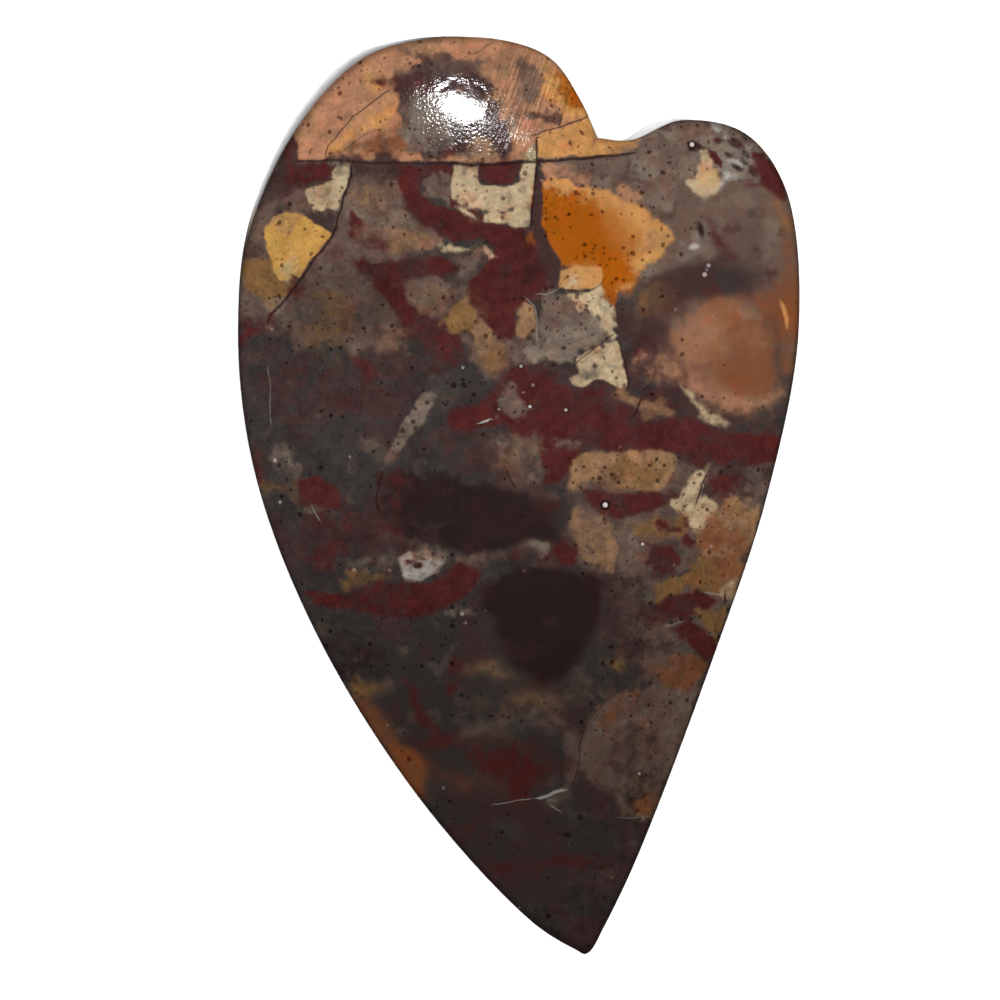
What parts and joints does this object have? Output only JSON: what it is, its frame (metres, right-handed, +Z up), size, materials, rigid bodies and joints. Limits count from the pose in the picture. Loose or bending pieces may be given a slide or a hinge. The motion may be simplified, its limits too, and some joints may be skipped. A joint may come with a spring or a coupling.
{
  "type": "jasper cabochon",
  "caption": "Polished heart-shaped cabochon of brecciated jasper, lopsided, with a low dome, a narrow wall and a flat back.",
  "frame": {"origin": "middle of the stone's bounding box in plan, on the plane of the flat back", "axes": "+Z up out of the dome, +Y from the point of the heart to its two lobes, +X to the smaller lobe's side"},
  "size_m": [0.0268, 0.044, 0.0056],
  "materials": {
    "jasper": "polished brecciated jasper: brown, maroon and slate ground with cream, tan and orange fragments"
  },
  "bodies": {
    "root": {"jasper_heart": "jasper"}
  },
  "joints": []
}
